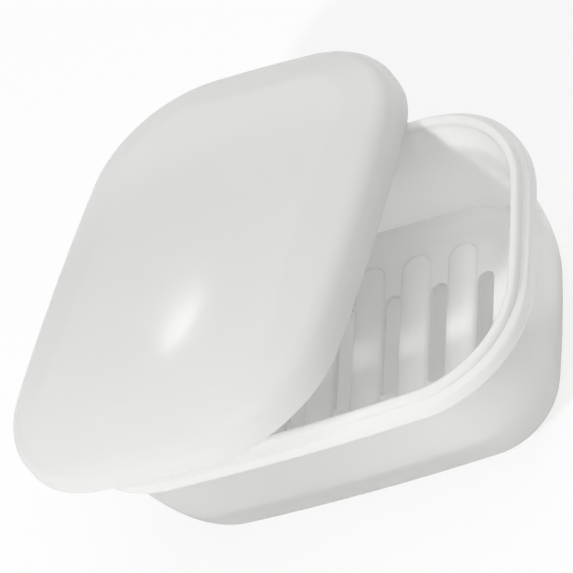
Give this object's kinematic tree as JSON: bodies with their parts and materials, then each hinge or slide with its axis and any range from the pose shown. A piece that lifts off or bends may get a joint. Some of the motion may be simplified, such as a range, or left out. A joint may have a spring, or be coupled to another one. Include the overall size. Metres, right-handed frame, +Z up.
{
  "type": "covered soap dish",
  "caption": "White plastic soap dish with a loose slotted drain tray and a domed lid laid askew on its rim.",
  "frame": {"origin": "middle of the dish's flat foot, where it stands", "axes": "+Z up from the foot to the rim, +X along the dish's long side, +Y across it to the far side"},
  "size_m": [0.1107, 0.1113, 0.0595],
  "materials": {
    "white_plastic": "gloss"
  },
  "bodies": {
    "root": {"dish_base": "white_plastic", "drain_tray": "white_plastic", "lid": "white_plastic"}
  },
  "joints": []
}
